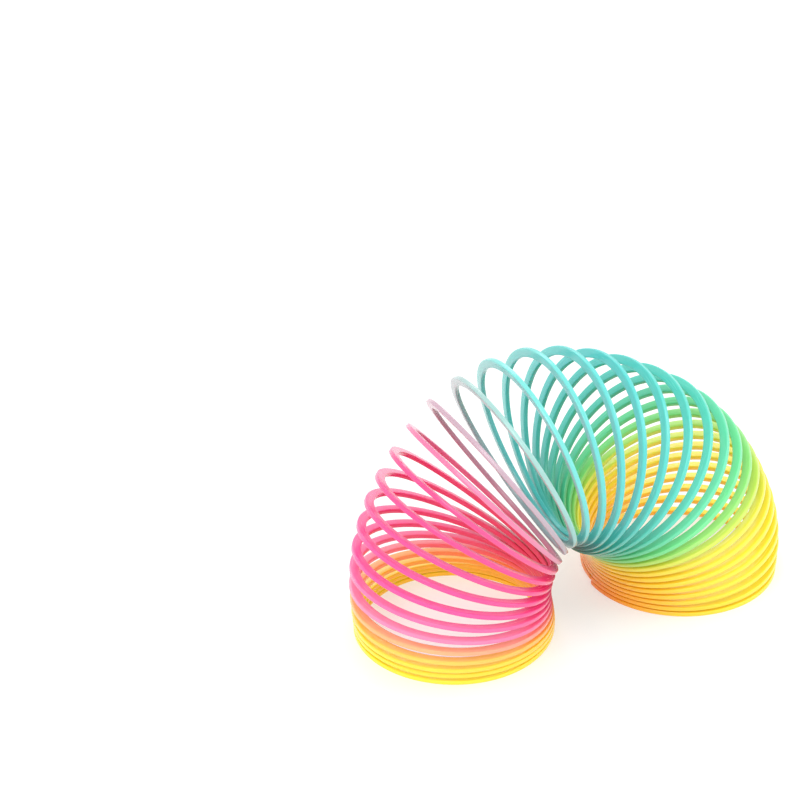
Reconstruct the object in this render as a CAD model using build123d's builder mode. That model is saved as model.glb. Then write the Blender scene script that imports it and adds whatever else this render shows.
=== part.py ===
"""A plastic rainbow coil spring, standing as an arch on its two end turns.

The coil is one long wire wound in a right-handed helix. It is divided where each turn begins, on the
inside of the arch, so that every turn is a solid of its own. There the wire runs along the line that the
next turn leans about: as the arch bends, the wire only twists at these places and the turns fan apart.

Units are millimetres. +Z is up, +X runs from the left foot to the right foot, +Y to the back, and the
origin is on the ground, below the middle of the arch's bounding box.
"""

import os
from math import cos, pi, radians, sin

from build123d import *

# the wire and the coil
turns = 34
coil_diameter = 75.0  # outside
wire_diameter = 1.8  # a round wire, which stands in for a flat one about 3.2 wide and as tall as this
pitch = 1.9  # from one turn to the next where they lie closest, on the inside of the arch
ground_flat = 0.15  # how deep the undersides of the two end turns are flattened
flat_share = 0.75  # how much of an end turn lies flat, before it climbs to the next turn
arcs = 8  # the arcs that a turn is made of

# The shape that the arch takes when it stands. Each list gives a rate at some turns, and the rate changes
# evenly between them. The two end turns lie on the ground and have no part in it.
arch_bend = 180.0  # degrees in all, which the fan rates are scaled to add up to
# degrees that each turn leans over the last one
fan = [(1, 0.0), (4, 2.1), (8, 6.2), (12, 7.3), (16, 10.4), (20, 9.8), (24, 4.8), (28, 2.6), (33, 4.7)]
# mm that each turn is set outwards from the last one, in its own plane
slip = [(1, 0.7), (5, 1.3), (10, 1.1), (13, 1.0), (17, -4.8), (21, 0.5), (25, 0.1), (33, -0.4)]
# mm that each turn is set towards the back from the last one
sway = [(1, -2.0), (5, -1.4), (11, -0.4), (17, 3.2), (23, -0.3), (28, -0.5), (33, 1.4)]
# mm that the turns stand apart, beyond the pitch, on the inside of the arch
gap = [(1, 0.8), (4, 1.6), (8, 0.2), (16, 0.8), (24, 0.0), (29, 0.3), (33, 0.0)]

steps = 3 * arcs  # steps along a turn, for adding up the rates
coil_radius = (coil_diameter - wire_diameter) / 2  # to the middle of the wire
ground_height = wire_diameter / 2 - ground_flat  # the middle of the wire where it lies on the ground


def rate(stations, turn):
    """The rate at a place along the coil, which is 0 in the two end turns."""
    if not 1 < turn < turns - 1:
        return 0.0
    for (start, first), (end, last) in zip(stations, stations[1:]):
        if turn <= end:
            return first + (last - first) * (turn - start) / (end - start)


def climb(turn):
    """How fast the coil rises along its own axis, on the inside of the arch, in mm per turn."""
    if 1 < turn < turns - 1:
        return pitch + rate(gap, turn)
    from_end = min(turn, turns - turn)
    return pitch / (1 - flat_share) if from_end > flat_share else 0.0


def upward(lean):
    """The direction of the coil's axis, from straight up in the left foot to straight down in the right."""
    return Vector(sin(lean), 0, cos(lean))


def outward(lean):
    """The direction from the inside of the arch to its outside, in the plane of a turn."""
    return Vector(-cos(lean), 0, sin(lean))


def arch(more_slip):
    """The lean, in radians, and the inner edge of the coil at every step from the left foot."""
    places = [(0.0, Vector(0, 0, ground_height))]
    middles = [(step + 0.5) / steps for step in range(turns * steps)]
    scale = radians(arch_bend) / sum(rate(fan, turn) for turn in middles)
    for turn in middles:
        lean, edge = places[-1]
        turned = scale * rate(fan, turn)
        halfway = lean + turned / 2
        set_out = rate(slip, turn) + (more_slip if 1 < turn < turns - 1 else 0.0)
        move = upward(halfway) * climb(turn) + outward(halfway) * set_out
        places.append((lean + turned, edge + (move + Vector(0, rate(sway, turn), 0)) / steps))
    return places


# a little more slip, the same in every turn, brings the right foot exactly to the ground
right_foot, lifted_foot = arch(0.0)[-1][1], arch(1.0)[-1][1]
places = arch((ground_height - right_foot.Z) / (lifted_foot.Z - right_foot.Z))


def wire_point(step):
    """The middle of the wire, which goes from the inner edge round the back, the outside and the front."""
    lean, edge = places[step]
    angle = 2 * pi * step / steps
    return edge + outward(lean) * coil_radius * (1 - cos(angle)) + Vector(0, coil_radius * sin(angle), 0)


wire_line = [wire_point(step) for step in range(turns * steps + 1)]
low = Vector(min(p.X for p in wire_line), min(p.Y for p in wire_line), 0)
high = Vector(max(p.X for p in wire_line), max(p.Y for p in wire_line), 0)
wire_line = [p - (low + high) / 2 for p in wire_line]

os.makedirs("parts", exist_ok=True)
heading = Vector(0, 1, 0)  # the wire sets off towards the back
hinge_lines = []  # where each turn begins, and the direction of the wire there
for turn in range(turns):
    first = turn * steps
    hinge_lines.append((wire_line[first], heading))
    with BuildPart() as coil_turn:
        with BuildLine():
            for start in range(first, first + steps, steps // arcs):
                arc = TangentArc(wire_line[start], wire_line[start + steps // arcs], tangent=heading)
                heading = arc % 1
        with BuildSketch(Plane(wire_line[first], z_dir=hinge_lines[-1][1])):
            Circle(wire_diameter / 2)
        sweep()
        if turn in (0, turns - 1):
            split(bisect_by=Plane.XY, keep=Keep.TOP)
    name = f"turn_{turn + 1:02d}"
    coil_turn.part.label = name
    export_step(coil_turn.part, f"parts/{name}.step")
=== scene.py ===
"""A rainbow coil spring standing as an arch: the looks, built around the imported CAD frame.

Every turn of the coil is one closed tube with a flat, soft-cornered section. It follows the same line as
the CAD turn that it replaces, set a little inwards so that both have the same outside diameter, and rides on
that turn's body. The coil is worked out in millimetres, and the stage, the light and the camera in metres.
"""

from math import cos, pi, radians, sin

import bpy
import numpy as np
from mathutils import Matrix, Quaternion, Vector


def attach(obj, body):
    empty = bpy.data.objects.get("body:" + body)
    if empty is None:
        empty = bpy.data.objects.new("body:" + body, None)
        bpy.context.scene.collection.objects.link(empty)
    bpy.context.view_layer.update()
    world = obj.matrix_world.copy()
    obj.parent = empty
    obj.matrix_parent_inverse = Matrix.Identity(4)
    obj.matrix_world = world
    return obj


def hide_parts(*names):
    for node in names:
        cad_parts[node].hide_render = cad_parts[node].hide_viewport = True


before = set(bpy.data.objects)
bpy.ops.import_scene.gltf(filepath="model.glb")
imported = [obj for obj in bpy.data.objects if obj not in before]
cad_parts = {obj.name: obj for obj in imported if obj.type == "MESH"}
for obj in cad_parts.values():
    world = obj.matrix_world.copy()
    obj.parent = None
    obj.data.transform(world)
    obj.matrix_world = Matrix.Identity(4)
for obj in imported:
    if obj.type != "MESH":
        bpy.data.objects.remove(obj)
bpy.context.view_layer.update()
MM = 0.001

# ---- the line of the wire, the same as in the CAD ------------------------------------------------------
TURNS = len(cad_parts)  # the CAD has a node for each
COIL_DIAMETER = 75.0  # outside
CAD_WIRE = 1.8  # across the CAD's round wire
COIL_RADIUS = (COIL_DIAMETER - CAD_WIRE) / 2  # to the middle of the CAD's wire
PITCH = 1.9  # from turn to turn on the inside of the arch
GROUND_FLAT = 0.15  # how deep the undersides of the CAD's two end turns are flattened
GROUND_HEIGHT = CAD_WIRE / 2 - GROUND_FLAT  # the middle of the wire where it lies on the ground
FLAT_SHARE = 0.75  # how much of an end turn lies flat
ARCH_BEND = 180.0  # degrees in all, which the fan rates are scaled to add up to
# rates per turn, at some turns: degrees of lean, then mm outwards, to the back, and apart beyond the pitch
FAN = [(1, 0.0), (4, 2.1), (8, 6.2), (12, 7.3), (16, 10.4), (20, 9.8), (24, 4.8), (28, 2.6), (33, 4.7)]
SLIP = [(1, 0.7), (5, 1.3), (10, 1.1), (13, 1.0), (17, -4.8), (21, 0.5), (25, 0.1), (33, -0.4)]
SWAY = [(1, -2.0), (5, -1.4), (11, -0.4), (17, 3.2), (23, -0.3), (28, -0.5), (33, 1.4)]
GAP = [(1, 0.8), (4, 1.6), (8, 0.2), (16, 0.8), (24, 0.0), (29, 0.3), (33, 0.0)]
STEPS = 24  # steps along a turn, for adding up the rates
FINE = 6  # cross-sections to each of those steps
PER_TURN = STEPS * FINE  # cross-sections to a turn

# ---- the section of the wire ---------------------------------------------------------------------------
WIDE = 3.5  # across the coil
TALL = 1.85  # along the coil's axis
SQUARENESS = 6.0  # the exponent of its superellipse, which has soft corners and slightly crowned faces
AROUND = 24  # points round the section
INSET = (WIDE - CAD_WIRE) / 2  # of its middle from the CAD's wire, for the same outside diameter
END_ROUND = 0.5  # how far back from the tip a free end of the wire is rounded
END_CLEAR = 1.3 * END_ROUND  # how far back from the tip the even cross-sections begin
END_SHARES = (0.0, 0.25, 0.5, 0.75, 1.0)  # of a quarter circle, where the rounding has its cross-sections

# ---- painted shade and bounce light, which deepen the colour, from 0 to 1 ------------------------------
INNER_PAINTED_SHADE = 0.6  # on the side towards the coil's axis, all the way round
ARCH_INSIDE_PAINTED_SHADE = 0.4  # what the inside of the arch adds to that
INNER_POWER = 2  # how closely that is gathered on the inside of the arch
OUTER_POWER = 4  # and the same for the other sides of the wire


def rate(stations, turn):
    """The rate at a place along the coil, which is 0 in the two end turns."""
    if not 1 < turn < TURNS - 1:
        return 0.0
    return float(np.interp(turn, [s[0] for s in stations], [s[1] for s in stations]))


def climb(turn):
    """How fast the coil rises along its own axis, on the inside of the arch."""
    if 1 < turn < TURNS - 1:
        return PITCH + rate(GAP, turn)
    return PITCH / (1 - FLAT_SHARE) if min(turn, TURNS - turn) > FLAT_SHARE else 0.0


def arch(more_slip):
    """The lean and the inner edge of the coil at every step from the left foot."""
    middles = [(step + 0.5) / STEPS for step in range(TURNS * STEPS)]
    scale = radians(ARCH_BEND) / sum(rate(FAN, turn) for turn in middles)
    lean, edge = 0.0, np.array([0.0, 0.0, GROUND_HEIGHT])
    leans, edges = [lean], [edge]
    for turn in middles:
        turned = scale * rate(FAN, turn)
        halfway = lean + turned / 2
        set_out = rate(SLIP, turn) + (more_slip if 1 < turn < TURNS - 1 else 0.0)
        up = np.array([sin(halfway), 0, cos(halfway)])
        out = np.array([-cos(halfway), 0, sin(halfway)])
        edge = edge + (up * climb(turn) + out * set_out + np.array([0, rate(SWAY, turn), 0])) / STEPS
        lean += turned
        leans.append(lean)
        edges.append(edge)
    return np.array(leans), np.array(edges)


right_foot, lifted_foot = arch(0.0)[1][-1], arch(1.0)[1][-1]
leans, edges = arch((GROUND_HEIGHT - right_foot[2]) / (lifted_foot[2] - right_foot[2]))

steps = np.arange(TURNS * PER_TURN + 1) / FINE  # along the coil, in steps
coarse = np.arange(TURNS * STEPS + 1)
lean = np.interp(steps, coarse, leans)
edge = np.stack([np.interp(steps, coarse, edges[:, axis]) for axis in range(3)], 1)
angle = 2 * pi * steps / STEPS
up = np.stack([np.sin(lean), 0 * lean, np.cos(lean)], 1)
out = np.stack([-np.cos(lean), 0 * lean, np.sin(lean)], 1)
BACK = np.array([0.0, 1.0, 0.0])
away = np.sin(angle)[:, None] * BACK - np.cos(angle)[:, None] * out  # from the coil's axis to the wire
line = edge + COIL_RADIUS * (out + away)
by_steps = line[::FINE]
middle = (by_steps.min(0) + by_steps.max(0)) / 2
line -= [middle[0], middle[1], 0]
line -= INSET * away


def smoothed(points, reach):
    """The points, each the mean of its neighbours, so that the line has no kink where a rate changes.

    Near an end, where the neighbours run out on one side, the point itself stands in for them.
    """
    total = np.zeros_like(points)
    places = np.arange(len(points))
    for shift in range(-reach, reach + 1):
        near = np.clip(places + shift, 0, len(points) - 1)
        mirrored = np.clip(places - shift, 0, len(points) - 1)
        total += np.where(((places + shift) == near)[:, None] & ((places - shift) == mirrored)[:, None],
                          points[near], points)
    return total / (2 * reach + 1)


# the circle itself must not shrink, so only the coil's climb is smoothed
circle = COIL_RADIUS * out + (COIL_RADIUS - INSET) * away
line += smoothed(line - circle, 2 * FINE) - (line - circle)

tangent = np.gradient(line, axis=0)
tangent /= np.linalg.norm(tangent, axis=1)[:, None]
axial = up - (up * tangent).sum(1)[:, None] * tangent
axial /= np.linalg.norm(axial, axis=1)[:, None]
across = np.cross(tangent, axial)
across *= np.sign((across * away).sum(1))[:, None]
length = np.concatenate([[0], np.cumsum(np.linalg.norm(np.diff(line, axis=0), axis=1))])


def section():
    """The section of the wire: points (across, along the axis) and the outward normal at each."""
    turn = 2 * pi * np.arange(AROUND) / AROUND
    unit = np.stack([np.cos(turn), np.sin(turn)], 1).round(12)
    half = np.array([WIDE / 2, TALL / 2])
    shares = np.sign(unit) * np.abs(unit) ** (2 / SQUARENESS)
    normals = np.sign(shares) * np.abs(shares) ** (SQUARENESS - 1) / half
    return half * shares, normals / np.linalg.norm(normals, axis=1)[:, None]


outline, outline_normals = section()
sides = np.diff(outline, axis=0, append=outline[:1])
perimeter = np.concatenate([[0], np.cumsum(np.linalg.norm(sides, axis=1))])
# the faces look outwards only if the outline runs one way round the wire
if np.dot(np.cross(across[0], axial[0]), tangent[0]) < 0:
    outline, outline_normals = outline[::-1], outline_normals[::-1]


def painted_shade_amount(inward, place):
    """How much painted shade and bounce light deepen the colour: most on the side towards the coil's axis and
    near the inside of the arch.
    """
    near = 0.5 + 0.5 * cos(place)
    inner_shade = INNER_PAINTED_SHADE + ARCH_INSIDE_PAINTED_SHADE * near**INNER_POWER
    return inward * inner_shade + (1 - inward) * near**OUTER_POWER


def turn_mesh(name, turn):
    """One turn of the wire as a closed tube. A free end is rounded, and an end turn is flat underneath."""
    places = [(line[r], 1.0, r) for r in range((turn - 1) * PER_TURN, turn * PER_TURN + 1)]
    if turn == 1:
        places = rounded_end(0, 1) + [p for p in places if length[p[2]] > END_CLEAR]
    if turn == TURNS:
        last = TURNS * PER_TURN
        places = [p for p in places if length[-1] - length[p[2]] > END_CLEAR] + rounded_end(last, -1)
    co, normal, along, uv, painted_shade = [], [], [], [], []
    for middle_point, share, r in places:
        frame_across, frame_axial = across[r], axial[r]
        pulled_in = (1 - share) * TALL / 2
        for (x, y), (nx, ny), v in zip(outline, outline_normals, perimeter):
            x -= np.sign(x) * min(abs(x), pulled_in)
            y -= np.sign(y) * min(abs(y), pulled_in)
            co.append(middle_point + frame_across * x + frame_axial * y)
            normal.append(frame_across * nx + frame_axial * ny)
            along.append(r / (TURNS * PER_TURN))
            # painted shade and bounce light, kept in an attribute: deepest on the inner side of the wire and
            # near the inside of the arch
            painted_shade.append(painted_shade_amount(max(-nx, 0.0), angle[r]))
            uv.append((length[r] * MM, v * MM))
    count = len(places)
    co = np.array(co)
    if turn in (1, TURNS):
        co[:, 2] = np.maximum(co[:, 2], 0.0)
    faces, loops_normal = [], []
    for i in range(count - 1):
        for j in range(AROUND):
            k = (j + 1) % AROUND
            a, b, c, d = i * AROUND + j, i * AROUND + k, (i + 1) * AROUND + k, (i + 1) * AROUND + j
            faces.append((a, b, c, d))
            loops_normal += [normal[a], normal[b], normal[c], normal[d]]
    faces.append(tuple(range(AROUND))[::-1])
    loops_normal += [-tangent[places[0][2]]] * AROUND
    faces.append(tuple(range((count - 1) * AROUND, count * AROUND)))
    loops_normal += [tangent[places[-1][2]]] * AROUND
    mesh = bpy.data.meshes.new(name)
    mesh.from_pydata([tuple(p * MM) for p in co], [], faces)
    layer = mesh.uv_layers.new(name="wire")
    corner_uv = np.zeros((len(mesh.loops), 2), np.float32)
    for face in mesh.polygons:
        for loop in face.loop_indices:
            corner_uv[loop] = uv[mesh.loops[loop].vertex_index]
    layer.data.foreach_set("uv", corner_uv.ravel())
    mesh.attributes.new("along", "FLOAT", "POINT").data.foreach_set("value", np.array(along, np.float32))
    mesh.attributes.new("painted_shade", "FLOAT", "POINT").data.foreach_set("value", np.array(painted_shade, np.float32))
    mesh.shade_smooth()
    mesh.update()
    if turn not in (1, TURNS):
        mesh.normals_split_custom_set([tuple(n) for n in loops_normal])
    return mesh


def rounded_end(r, way):
    """Cross-sections that shrink towards the free end of the wire, in order along it."""
    rows = []
    for end_share in END_SHARES[::-way]:
        quarter = end_share * pi / 2
        back = END_ROUND * (1 - sin(quarter))
        share = 1 - END_ROUND * (1 - cos(quarter)) / (TALL / 2)
        rows.append((line[r] + tangent[r] * back * way, share, r))
    return rows


# ---- the plastic ---------------------------------------------------------------------------------------
# the colour at the middle of some turns, in sRGB
COLOURS = [
    (1, (255, 236, 60)), (3, (255, 230, 66)), (4, (255, 212, 84)), (5, (255, 186, 120)),
    (6, (255, 140, 180)), (8, (248, 84, 158)), (12, (246, 74, 140)), (13, (238, 122, 164)),
    (13.7, (204, 154, 174)), (14.5, (184, 176, 184)), (15.2, (160, 204, 198)), (16, (122, 216, 210)),
    (19, (88, 204, 200)), (22, (92, 210, 190)), (24.3, (122, 226, 154)), (25.4, (166, 226, 118)),
    (26.4, (214, 230, 90)), (27.5, (244, 228, 74)), (29, (253, 232, 64)), (34, (254, 226, 56)),
]

# the colour on the inside of the coil, darker and more saturated: painted shade and painted bounce light from
# wire to wire
PAINTED_SHADE_COLOURS = [
    (1, (255, 190, 20)), (3, (255, 172, 22)), (4, (255, 146, 34)), (5, (250, 104, 62)),
    (6, (238, 66, 92)), (8, (226, 40, 84)), (12, (222, 44, 84)), (13, (200, 84, 118)),
    (14, (150, 124, 136)), (15, (92, 160, 158)), (16, (48, 168, 166)), (19, (30, 152, 132)),
    (22, (44, 160, 118)), (24, (92, 196, 112)), (25, (164, 208, 70)), (26, (240, 214, 50)),
    (28, (254, 192, 40)), (31, (250, 158, 28)), (34, (244, 132, 18)),
]


def linear(colour):
    """An sRGB colour from 0 to 255, as the shader takes it."""
    shares = [c / 255 for c in colour]
    return tuple(c / 12.92 if c <= 0.04045 else ((c + 0.055) / 1.055) ** 2.4 for c in shares) + (1.0,)


class Nodes:
    """Makes and joins a material's nodes."""

    def __init__(self, name):
        self.material = bpy.data.materials.new(name)
        self.material.use_nodes = True
        self.tree = self.material.node_tree
        self.shader = next(n for n in self.tree.nodes if n.type == "BSDF_PRINCIPLED")

    def add(self, kind, settings=(), **links):
        """A new node. The settings are its own or its sockets', and a link i0 goes to its first socket."""
        node = self.tree.nodes.new(kind)
        for key, value in dict(settings).items():
            if hasattr(node, key) and key not in node.inputs:
                setattr(node, key, value)
            else:
                node.inputs[key].default_value = value
        for key, value in links.items():
            self.link(value, node, int(key[1:]))
        return node

    def link(self, output, node, socket):
        self.tree.links.new(output, node.inputs[socket])

    def rescale(self, value, source, target):
        """The value, taken from the source range to the target range."""
        node = self.add("ShaderNodeMapRange")
        for socket, number in zip(("From Min", "From Max", "To Min", "To Max"), source + target):
            node.inputs[socket].default_value = number
        self.link(value, node, "Value")
        return node.outputs["Result"]

    def ramp(self, colours, place):
        """A colour ramp along the wire, with each colour at the middle of its turn."""
        node = self.add("ShaderNodeValToRGB")
        elements = node.color_ramp.elements
        elements.remove(elements[-1])
        for i, (turn, colour) in enumerate(colours):
            position = (turn - 0.5) / TURNS
            element = elements[0] if i == 0 else elements.new(position)
            element.position = position
            element.color = linear(colour)
        self.link(place, node, "Fac")
        return node.outputs["Color"]


DYE_DRIFT = 0.016  # how far the dyes run into each other, as a share of the whole wire
STREAKS_PER_METRE = (60.0, 2600.0, 1.0)  # along the wire and round it
STREAK_HEIGHT = 1.5  # of the drawn lines, against the grain


def plastic():
    """Glossy, slightly translucent plastic whose dye changes along the wire, deepened on the inside of the
    coil by painted shade and bounce light.
    """
    nodes = Nodes("rainbow_plastic")
    shader = nodes.shader
    along = nodes.add("ShaderNodeAttribute", {"attribute_name": "along"})
    where = nodes.add("ShaderNodeTexCoord")
    # the dyes run into each other unevenly
    patches = nodes.add("ShaderNodeTexNoise", {"Scale": 38.0, "Detail": 2.0, "Roughness": 0.5})
    nodes.link(where.outputs["Object"], patches, "Vector")
    drift = nodes.add("ShaderNodeMath", {"operation": "MULTIPLY_ADD"}, i0=patches.outputs["Fac"])
    drift.inputs[1].default_value = DYE_DRIFT
    drift.inputs[2].default_value = -DYE_DRIFT / 2
    place = nodes.add("ShaderNodeMath", {"operation": "ADD"}, i0=along.outputs["Fac"], i1=drift.outputs[0])
    # the dye and a darker, deeper copy of it; mixing towards the copy paints shade and bounce light on the
    # inside of the coil
    dye_and_painted_shade = [nodes.ramp(colours, place.outputs[0]) for colours in (COLOURS, PAINTED_SHADE_COLOURS)]
    shade_attribute = nodes.add("ShaderNodeAttribute", {"attribute_name": "painted_shade"})
    dye_with_painted_shade = nodes.add("ShaderNodeMixRGB", i0=shade_attribute.outputs["Fac"], i1=dye_and_painted_shade[0], i2=dye_and_painted_shade[1])
    # slightly paler and darker streaks along the wire
    wire = nodes.add("ShaderNodeUVMap", {"uv_map": "wire"})
    stretch = nodes.add("ShaderNodeMapping", {"vector_type": "POINT"})
    stretch.inputs["Scale"].default_value = STREAKS_PER_METRE
    nodes.link(wire.outputs["UV"], stretch, "Vector")
    streaks = nodes.add("ShaderNodeTexNoise", {"Scale": 1.0, "Detail": 3.0, "Roughness": 0.6})
    nodes.link(stretch.outputs["Vector"], streaks, "Vector")
    tone = nodes.rescale(streaks.outputs["Fac"], (0.3, 0.7), (0.965, 1.035))
    shade = nodes.add("ShaderNodeHueSaturation", {"Saturation": 1.0})
    nodes.link(dye_with_painted_shade.outputs["Color"], shade, "Color")
    nodes.link(tone, shade, "Value")
    nodes.link(shade.outputs["Color"], shader, "Base Color")
    # gloss with faint drawn lines and scuffs
    nodes.link(nodes.rescale(streaks.outputs["Fac"], (0.25, 0.75), (0.15, 0.32)), shader, "Roughness")
    grain = nodes.add("ShaderNodeTexNoise", {"Scale": 900.0, "Detail": 2.0})
    nodes.link(where.outputs["Object"], grain, "Vector")
    height = nodes.add("ShaderNodeMath", {"operation": "MULTIPLY_ADD"})
    nodes.link(streaks.outputs["Fac"], height, 0)
    height.inputs[1].default_value = STREAK_HEIGHT
    nodes.link(grain.outputs["Fac"], height, 2)
    bump = nodes.add("ShaderNodeBump", {"Strength": 0.12, "Distance": 0.0001})
    nodes.link(height.outputs[0], bump, "Height")
    nodes.link(bump.outputs["Normal"], shader, "Normal")
    shader.inputs["IOR"].default_value = 1.49
    shader.inputs["Subsurface Weight"].default_value = 0.35
    shader.inputs["Subsurface Radius"].default_value = (1.0, 0.9, 0.8)
    shader.inputs["Subsurface Scale"].default_value = 0.0012
    shader.inputs["Coat Weight"].default_value = 0.3
    shader.inputs["Coat Roughness"].default_value = 0.12
    return nodes.material


rainbow = plastic()
for turn in range(1, TURNS + 1):
    node = f"turn_{turn:02d}"
    mesh = turn_mesh(f"coil_{turn:02d}", turn)
    mesh.materials.append(rainbow)
    piece = bpy.data.objects.new(f"coil_{turn:02d}", mesh)
    bpy.context.scene.collection.objects.link(piece)
    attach(piece, node)
    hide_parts(node)

# ---- the floor, the light and the camera ---------------------------------------------------------------
FLOOR_HALF = 8.0
FLOOR_HEIGHT = -0.0001  # just below the undersides of the feet
corners = [(x * FLOOR_HALF, y * FLOOR_HALF, FLOOR_HEIGHT) for x, y in ((-1, -1), (1, -1), (1, 1), (-1, 1))]
floor_mesh = bpy.data.meshes.new("floor")
floor_mesh.from_pydata(corners, [], [(0, 1, 2, 3)])
floor = bpy.data.objects.new("floor", floor_mesh)
bpy.context.scene.collection.objects.link(floor)
floor_nodes = Nodes("floor_paper")
floor_nodes.shader.inputs["Base Color"].default_value = (0.55, 0.55, 0.55, 1.0)
floor_nodes.shader.inputs["Emission Color"].default_value = (1.0, 1.0, 1.0, 1.0)
floor_nodes.shader.inputs["Emission Strength"].default_value = 0.46  # a lit table, which takes little colour
floor_nodes.shader.inputs["Roughness"].default_value = 0.9
floor_nodes.shader.inputs["Specular IOR Level"].default_value = 0.1
floor_mesh.materials.append(floor_nodes.material)

world = bpy.data.worlds.new("studio")
world.use_nodes = True
background = next(n for n in world.node_tree.nodes if n.type == "BACKGROUND")
background.inputs["Color"].default_value = (1.0, 1.0, 1.0, 1.0)
background.inputs["Strength"].default_value = 0.95
bpy.context.scene.world = world


def soft_box(name, place, target, size, power):
    """A large square light that faces the target."""
    data = bpy.data.lights.new(name, "AREA")
    data.shape = "SQUARE"
    data.size = size
    data.energy = power
    light = bpy.data.objects.new(name, data)
    bpy.context.scene.collection.objects.link(light)
    light.location = place
    light.rotation_mode = "QUATERNION"
    light.rotation_quaternion = (Vector(target) - Vector(place)).to_track_quat("-Z", "Y")


soft_box("key", (-0.7, -0.7, 1.3), (0, 0, 0.03), 0.9, 9.0)
soft_box("fill", (1.2, -0.5, 0.9), (0, 0, 0.03), 1.0, 6.0)
soft_box("rim", (0.2, 1.3, 1.1), (0, 0, 0.05), 0.8, 4.0)

VIEW_TURN, VIEW_DOWN, VIEW_ROLL = radians(23.22), radians(30.14), radians(-0.33)
VIEW_DISTANCE = 1.1177
VIEW_CENTRE = Vector((-0.0431, 0.0602, 0.0667))  # in the middle of the view, behind the arch and to its left
forward = Vector((sin(VIEW_TURN) * cos(VIEW_DOWN), cos(VIEW_TURN) * cos(VIEW_DOWN), -sin(VIEW_DOWN)))
camera_data = bpy.data.cameras.new("camera")
camera_data.sensor_width = 36.0
camera_data.lens = 133.47
camera_data.clip_start, camera_data.clip_end = 0.05, 40.0
camera = bpy.data.objects.new("camera", camera_data)
bpy.context.scene.collection.objects.link(camera)
camera.location = VIEW_CENTRE - forward * VIEW_DISTANCE
camera.rotation_mode = "QUATERNION"
camera.rotation_quaternion = forward.to_track_quat("-Z", "Y") @ Quaternion((0, 0, 1), VIEW_ROLL)
bpy.context.scene.camera = camera
bpy.context.scene.view_settings.view_transform = "Standard"
